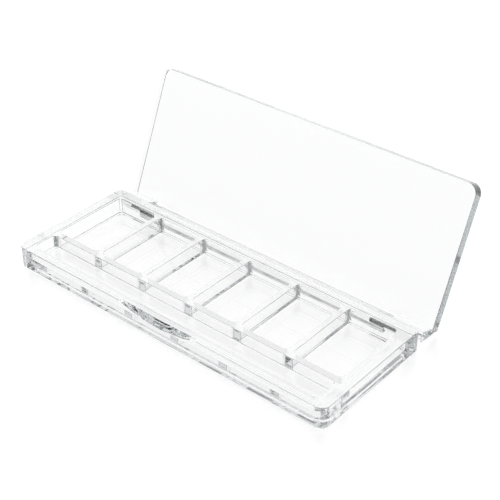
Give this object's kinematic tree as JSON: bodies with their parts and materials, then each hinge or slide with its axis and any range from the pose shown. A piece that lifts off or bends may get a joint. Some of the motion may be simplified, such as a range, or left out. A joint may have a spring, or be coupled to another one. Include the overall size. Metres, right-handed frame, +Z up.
{
  "type": "palette case",
  "caption": "Clear shallow palette case with a row of rectangular wells, a long front channel behind a thumb scoop, and a flat lid on a rear pin hinge.",
  "frame": {"origin": "centre of the open case's footprint, on the surface it stands on", "axes": "+X along the case's length, +Y from the front channel to the hinge, +Z up"},
  "size_m": [0.1352, 0.0812, 0.0489],
  "materials": {
    "clear_tray": "polished clear",
    "clear_lid": "polished clear",
    "pin_steel": "drawn wire"
  },
  "bodies": {
    "tray": {"base_tray": "clear_tray", "left_hinge_pin": "pin_steel", "right_hinge_pin": "pin_steel"},
    "lid": {"lid": "clear_lid"}
  },
  "joints": [
    {"name": "lid_hinge", "type": "hinge", "parent": "tray", "child": "lid", "pos_m": [0, 0.01238, 0.00386], "axis": [1, 0, 0], "range_deg": [0, 113]}
  ]
}
